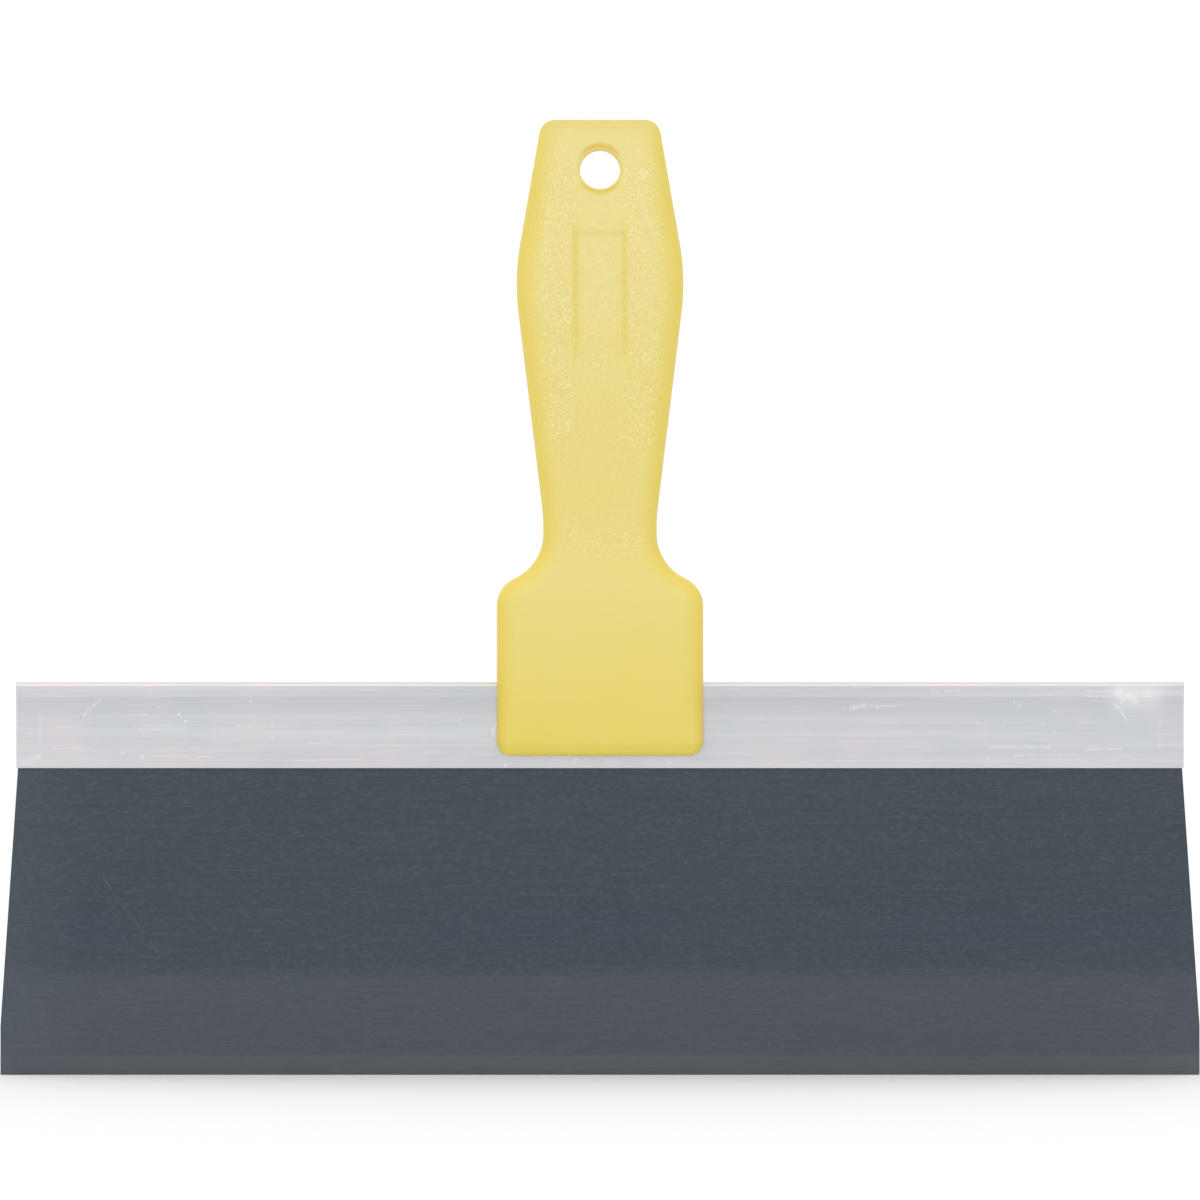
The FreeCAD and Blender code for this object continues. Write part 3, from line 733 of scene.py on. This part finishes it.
def handle_plastic():
    it = Finish("handle_plastic")
    across, up = it.math("ABSOLUTE", it.axis("X")), it.axis("Z")
    # Tones by height, paler upwards: a painted sheen.
    colour = it.ramp(up, [(height, plastic(*shade)) for height, shade in HANDLE_TONES])
    cloud = it.step(it.noise(60.0, 3.0), 0.35, 0.7)
    colour = it.blend(it.times(cloud, 0.12), colour, plastic(238, 226, 165))

    # Faces that turn aside are painted a deeper yellow: painted shade where they turn from the
    # front light, though less so on either side of the hang hole.
    tilt = it.node("ShaderNodeSeparateXYZ")
    it.feed(tilt.inputs[0], it.node("ShaderNodeTexCoord").outputs["Normal"])
    flatness = it.math("ABSOLUTE", tilt.outputs["Y"])
    rise = it.math("SUBTRACT", up, HANG_HEIGHT * MM)
    off = it.math("SQRT", it.math("ADD", it.math("POWER", across, 2.0), it.math("POWER", rise, 2.0)))
    upright = it.step(it.math("DIVIDE", it.math("ABSOLUTE", rise), off), 0.35, 0.95)
    calm = it.slope(off, HANG_RADIUS + 1.55, HANG_RADIUS + 1.95, 0.65, 0.0)
    calm = it.times(calm, it.math("SUBTRACT", 1.0, upright))
    aside = it.math("SQRT", it.math("SUBTRACT", 1.0, flatness, clamp=True))
    aside = it.times(aside, 1.5, clamp=True)
    aside = it.times(aside, it.math("SUBTRACT", 1.0, calm))
    colour = it.blend(it.times(aside, 0.92), colour, plastic(240, 214, 88))
    # Painted side shade reaches further in along the long edges above the swell, and faces that
    # look up at the top end are painted a greyer, a little paler yellow, as painted shade.
    edge = it.times(it.math("SUBTRACT", HANDLE_TOP * MM, up), TOP_TAPER)
    inset = it.math("SUBTRACT", it.math("ADD", edge, TOP_HALF_WIDTH * MM), across)
    reach = it.times(it.zone(inset, 2.4, 4.2, 2.0), it.slope(up, 206.0, 220.0, 0.3, 1.0))
    colour = it.blend(it.times(reach, 0.27), colour, plastic(228, 210, 88))
    cap = it.times(it.step(tilt.outputs["Z"], 0.15, 0.6, 0.0, 0.28), it.slope(up, 236.0, 239.5))
    colour = it.blend(cap, colour, plastic(208, 198, 155))
    # Faces that look down are painted a brighter, deeper yellow: painted light that makes up for the
    # shade under the base.
    under = it.step(tilt.outputs["Z"], -0.85, -0.35, 0.85, 0.0)
    colour = it.blend(under, colour, (1.0, 0.81, 0.13, 1.0))

    # The label's side walls and top are painted a deeper yellow, and so is a faint line inside them
    # at the raised field's edge: painted shade in the recess.
    front = it.slope(it.axis("Y"), -2.0, 0.0, 1.0, 0.0)
    along = it.zone(up, 186.0, 213.5, 6.0)
    walls = it.times(it.zone(across, 5.7, 6.8, 0.8), along)
    lintel = it.times(it.zone(up, 213.7, 214.2, 0.6), it.slope(across, 6.5, 7.2, 0.5, 0.0))
    inner = it.times(it.zone(across, 4.4, 4.7, 0.4), it.zone(up, 178.0, 205.5, 2.0))
    frame_shade = it.larger(it.times(walls, 0.42), it.times(lintel, 0.12))
    frame_shade = it.larger(frame_shade, it.times(inner, 0.12))
    colour = it.blend(it.times(frame_shade, front), colour, plastic(231, 206, 92))

    # Painted shade on the hang hole's rim: a deeper yellow above and below the hole. Its wall is
    # painted a brighter yellow all round, painted light against the shade inside it.
    ring = it.slope(off, HANG_RADIUS + 1.0, HANG_RADIUS + 1.7, 1.0, 0.0)
    colour = it.blend(it.times(ring, upright), colour, plastic(230, 200, 92))
    bore = it.slope(off, HANG_RADIUS + 0.1, HANG_RADIUS + 0.5, 0.9, 0.0)
    colour = it.blend(bore, colour, (0.98, 0.8, 0.26, 1.0))

    # The grip's leather grain: its pits are painted darker, partly their own tone and partly painted
    # shade, and pale painted glints, painted highlights, gather where the grain is lit: on the
    # shoulders, at the waist, on the label and over the middle of the back.
    grip = it.zone(up, 138.0, 226.0, 12.0)
    centre = it.times(it.slope(across, 8.0, 12.0, 1.0, 0.0), it.math("SUBTRACT", 1.0, front))
    spread = it.larger(it.zone(across, 8.2, 14.0, 4.0), centre)
    shoulders = it.times(spread, it.zone(up, 168.0, 224.0, 20.0))
    waist = it.times(it.zone(up, 132.5, 137.0, 2.5), it.slope(across, 9.0, 13.0, 0.6, 0.0))
    bright_zone = it.times(it.zone(up, 180.0, 196.0, 6.0), it.slope(across, 1.0, 4.0, 0.6, 0.0))
    bright_zone = it.times(bright_zone, front)
    lit = it.larger(it.larger(shoulders, waist), bright_zone)
    grain = it.cells(1450.0, "SMOOTH_F1", 1.0, 0.4)
    fine = it.noise(2800.0, 2.0)
    height = it.math("ADD", grain, it.times(fine, 0.3))
    height = it.times(height, it.step(grip, 0.0, 1.0, 0.1, 1.0))
    pits = it.step(grain, 0.25, 0.7, 1.0, 0.0)
    mottle = it.times(it.times(pits, grip), it.step(lit, 0.0, 1.0, 0.25, 0.5))
    colour = it.blend(mottle, colour, plastic(229, 208, 112))
    glint = it.step(it.noise(1900.0, 1.5, 0.6), 0.57, 0.67)
    patchy = it.step(it.noise(260.0, 2.0), 0.38, 0.58, 0.45, 1.0)
    glint = it.times(it.times(glint, patchy), it.step(lit, 0.0, 1.0, 0.08, 0.9))
    glint = it.times(glint, it.step(flatness, 0.8, 0.97))
    colour = it.blend(glint, colour, plastic(250, 240, 198))
    it.set(
        Base_Color=colour,
        Roughness=it.step(it.noise(420.0, 3.0), 0.3, 0.7, 0.42, 0.55),
        Normal=it.bump(height, 0.6, 0.12),
    )
    return it.material


def extruded_aluminium():
    it = Finish("extruded_aluminium")
    up = it.axis("Z")
    front = it.slope(it.axis("Y"), -1.2, -0.8, 1.0, 0.0)
    broad = it.noise(1.0, 3.0, 0.5, vector=it.moved(scale=(9, 60, 420)))
    lines = it.noise(1.0, 4.0, 0.6, vector=it.moved(scale=(16, 300, 3600)))
    smudge = it.noise(42.0, 4.0, 0.6)
    colour = it.blend(it.step(smudge, 0.36, 0.66), linear(212, 207, 212), linear(202, 206, 209))
    colour = it.blend(it.step(broad, 0.4, 0.7, 0.0, 0.4), colour, linear(219, 218, 221))
    colour = it.blend(it.step(lines, 0.48, 0.7, 0.0, 0.35), colour, linear(190, 191, 195))
    # Painted shade: the hollow under the spine, whose face turns a little downwards, is darker.
    hollow = it.times(it.slope(up, 89.5, 93.2), it.slope(up, 95.6, 96.3, 0.55, 0.0))
    colour = it.blend(hollow, colour, linear(197, 200, 204))

    # The spine is duller towards the middle of the bar and brighter near its right end.
    high = it.slope(up, 90.5, 96.0, 0.1, 1.0)
    dull = it.times(it.zone(it.axis("X"), -55.0, 60.0, 50.0), it.times(high, 0.3))
    colour = it.blend(dull, colour, linear(190, 192, 196))
    bright_zone = it.times(it.zone(it.axis("X"), 133.0, 139.5, 6.0), it.times(high, front))
    colour = it.blend(it.times(bright_zone, 0.42), colour, linear(240, 238, 241))

    # Wear: dashes along the bar, hairs in two directions, dots, and the placed marks on the front.
    dashes = it.noise(1.0, 2.0, 0.5, vector=it.moved(scale=(75, 300, 3000), shift=(3, 0, 0)))
    wear = it.step(dashes, 0.64, 0.74, 0.0, 0.3)
    for angle, shift, level in ((38, 0.0, 0.72), (-52, 7.0, 0.73)):
        turned = it.moved(scale=(1, 0.05, 1), turn=(0, math.radians(angle), 0), shift=(shift, 0, 0))
        stretched = it.vector("MULTIPLY", turned, (260.0, 50.0, 2400.0))
        hairs = it.noise(1.0, 2.0, 0.5, vector=stretched)
        wear = it.larger(wear, it.step(hairs, level, level + 0.06, 0.0, 0.35))
    rare = it.step(it.noise(55.0, 1.0), 0.5, 0.6, 0.0, 0.5)
    dots = it.step(it.cells(230.0), 0.02, 0.09, 1.0, 0.0)
    wear = it.larger(wear, it.times(dots, rare))
    relief = it.math("SUBTRACT", lines, it.times(wear, 0.8))
    specks = [(x, z, x + 0.05, z, SPECK_RADIUS, weight) for x, z, weight in BAR_SPECKS]
    ragged = it.step(it.noise(520.0, 3.0, 0.6), 0.35, 0.6, 0.35, 1.15)
    placed = it.times(it.marks(BAR_MARKS + specks, 1.3), it.times(front, ragged))
    wear = it.larger(wear, placed, clamp=True)
    colour = it.blend(wear, colour, linear(242, 240, 243))
    # The crest of the spine is painted a little warmer: a painted warm tint for the highlight along
    # its rounded top.
    crest = it.slope(up, 98.5, 99.1)
    colour = it.blend(it.times(crest, 0.9), colour, linear(214, 207, 204))

    it.set(
        Base_Color=colour,
        Metallic=1.0,
        Roughness=it.step(smudge, 0.3, 0.7, 0.34, 0.44),
        Normal=it.bump(relief, 0.25, 0.04),
    )
    return it.material


def blued_steel():
    it = Finish("blued_steel")
    up, front = it.axis("Z"), it.slope(it.axis("Y"), -0.1, 0.0, 1.0, 0.0)
    grain = it.noise(1.0, 5.0, 0.7, vector=it.moved(scale=(30, 400, 3200)))
    fine = it.noise(1.0, 2.0, 0.6, vector=it.moved(scale=(120, 400, 7000)))
    mottle = it.noise(1300.0, 2.0, 0.6, vector=it.moved(scale=(0.5, 1, 1)))
    # Tones by height; the ground edge's lighter tone is partly painted light.
    colour = it.ramp(up, [(height, linear(*shade)) for height, shade in BLADE_TONES], "CARDINAL")
    cloud = it.noise(16.0, 3.0, 0.6, vector=it.moved(scale=(1, 1, 2.2)))
    colour = it.blend(it.step(cloud, 0.35, 0.7, 0.0, 0.25), colour, linear(80, 86, 92))
    colour = it.blend(it.slope(it.axis("X"), -153.0, -125.0, 0.4, 0.0), colour, linear(88, 96, 103))
    colour = it.blend(it.step(grain, 0.45, 0.72, 0.0, 0.32), colour, linear(98, 105, 112))
    colour = it.blend(it.step(fine, 0.45, 0.7, 0.0, 0.25), colour, linear(58, 65, 72))
    colour = it.blend(it.step(mottle, 0.45, 0.75, 0.0, 0.2), colour, linear(104, 111, 117))
    # A faint dark line where the ground edge begins.
    ground = it.zone(up, 5.1, 5.5, 0.6)
    colour = it.blend(it.times(ground, 0.1), colour, linear(60, 66, 72))

    # Scratches: the placed ones on the front, loose ones all over, and small specks.
    broken = it.step(it.noise(420.0, 2.0), 0.42, 0.6)
    hairs = it.times(it.marks(BLADE_MARKS), it.times(front, broken))
    turned = it.moved(turn=(0, math.radians(-55), 0), scale=(1, 0.1, 1))
    stretched = it.vector("MULTIPLY", turned, (70.0, 40.0, 2600.0))
    loose = it.noise(1.0, 2.0, 0.5, vector=stretched)
    hairs = it.larger(hairs, it.step(loose, 0.71, 0.77, 0.0, 0.15))
    specks = it.step(it.cells(150.0), 0.02, 0.05, 0.35, 0.0)
    hairs = it.larger(hairs, specks)
    colour = it.blend(hairs, colour, linear(128, 134, 140))
    it.set(
        Base_Color=colour,
        Metallic=1.0,
        Roughness=it.step(grain, 0.3, 0.7, 0.36, 0.46),
        Normal=it.bump(it.math("SUBTRACT", grain, it.times(hairs, 0.5)), 0.2, 0.03),
    )
    return it.material


def rivet_metal(name, shade):
    it = Finish(name)
    scuff = it.noise(900.0, 4.0, 0.6)
    colour = it.blend(it.step(scuff, 0.4, 0.7), linear(*shade), linear(*[s - 24 for s in shade]))
    it.set(
        Base_Color=colour,
        Metallic=1.0,
        Roughness=it.step(scuff, 0.3, 0.7, 0.28, 0.42),
        Normal=it.bump(scuff, 0.15, 0.03),
    )
    return it.material


# ---------------------------------------------------------------- pieces


def finish_node(name, material):
    """Gives a CAD node that stays its detailed material."""
    mesh = NODES[name].data
    for number in range(len(mesh.materials)):
        mesh.materials[number] = material
    if not mesh.materials:
        mesh.materials.append(material)


def finish_piece(item, material, node):
    """A new piece that stands for a CAD node."""
    item.data.materials.clear()
    item.data.materials.append(material)
    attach(item, "root")
    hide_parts(node)


finish_piece(make_handle(), handle_plastic(), "handle")
finish_piece(make_bar(), extruded_aluminium(), "backing_bar")
finish_node("blade", blued_steel())
aluminium_rivet = rivet_metal("rivet_aluminium", (212, 212, 215))
steel_rivet = rivet_metal("rivet_steel", (198, 198, 200))
for name in NODES:
    if name.startswith("blade_rivet"):
        finish_node(name, aluminium_rivet)
    elif name.startswith("handle_rivet"):
        finish_node(name, steel_rivet)


# ---------------------------------------------------------------- stage, lights and camera

# The world's strength as a light, and as the camera sees it.
WORLD_LIGHT, WORLD_SEEN = 0.8, 1.05
FLOOR_REACH = 60.0
# What the camera frames at the knife's middle plane, and its own height, in metres.
VIEW_WIDTH, VIEW_HEIGHT = 0.30505, 0.1207
LENS, SENSOR = 250.0, 36.0


def make_floor():
    floor_mesh = bpy.data.meshes.new("floor")
    reach = FLOOR_REACH
    corners = [(-reach, -reach, 0), (reach, -reach, 0), (reach, reach, 0), (-reach, reach, 0)]
    floor_mesh.from_pydata(corners, [], [(0, 1, 2, 3)])
    floor = bpy.data.objects.new("floor", floor_mesh)
    bpy.context.scene.collection.objects.link(floor)
    it = Finish("floor_paper")
    it.set(Base_Color=(0.93, 0.93, 0.93, 1), Roughness=0.9, Specular_IOR_Level=0.1)
    floor_mesh.materials.append(it.material)


def make_world():
    """White to the camera, and a softer white as a source of light."""
    world = bpy.data.worlds.new("studio")
    bpy.context.scene.world = world
    world.use_nodes = True
    tree = world.node_tree
    background = tree.nodes["Background"]
    background.inputs["Color"].default_value = (1.0, 1.0, 1.0, 1.0)
    path = tree.nodes.new("ShaderNodeLightPath")
    strength = tree.nodes.new("ShaderNodeMapRange")
    strength.inputs["To Min"].default_value = WORLD_LIGHT
    strength.inputs["To Max"].default_value = WORLD_SEEN
    tree.links.new(path.outputs["Is Camera Ray"], strength.inputs["Value"])
    tree.links.new(strength.outputs[0], background.inputs["Strength"])


def make_sun(name, direction, angle, strength):
    """A wide, soft light that shines along the direction and reaches the whole floor alike."""
    data = bpy.data.lights.new(name, "SUN")
    data.angle = math.radians(angle)
    data.energy = strength
    light = bpy.data.objects.new(name, data)
    light.rotation_euler = Vector(direction).to_track_quat("-Z", "Y").to_euler()
    bpy.context.scene.collection.objects.link(light)


def make_camera():
    data = bpy.data.cameras.new("camera")
    data.lens, data.sensor_width = LENS, SENSOR
    data.clip_start, data.clip_end = 0.1, 400.0
    camera = bpy.data.objects.new("camera", data)
    camera.location = (0.0, -VIEW_WIDTH * LENS / SENSOR, VIEW_HEIGHT)
    camera.rotation_euler = (math.pi / 2, 0.0, 0.0)
    bpy.context.scene.collection.objects.link(camera)
    bpy.context.scene.camera = camera


make_floor()
make_world()
make_sun("key", (0.25, 0.75, -1.0), 70.0, 0.55)
make_sun("fill", (-0.25, 1.0, -0.1), 120.0, 0.4)
make_sun("back", (0.1, -0.8, -1.0), 90.0, 0.5)
make_camera()
bpy.context.scene.view_settings.view_transform = "Standard"
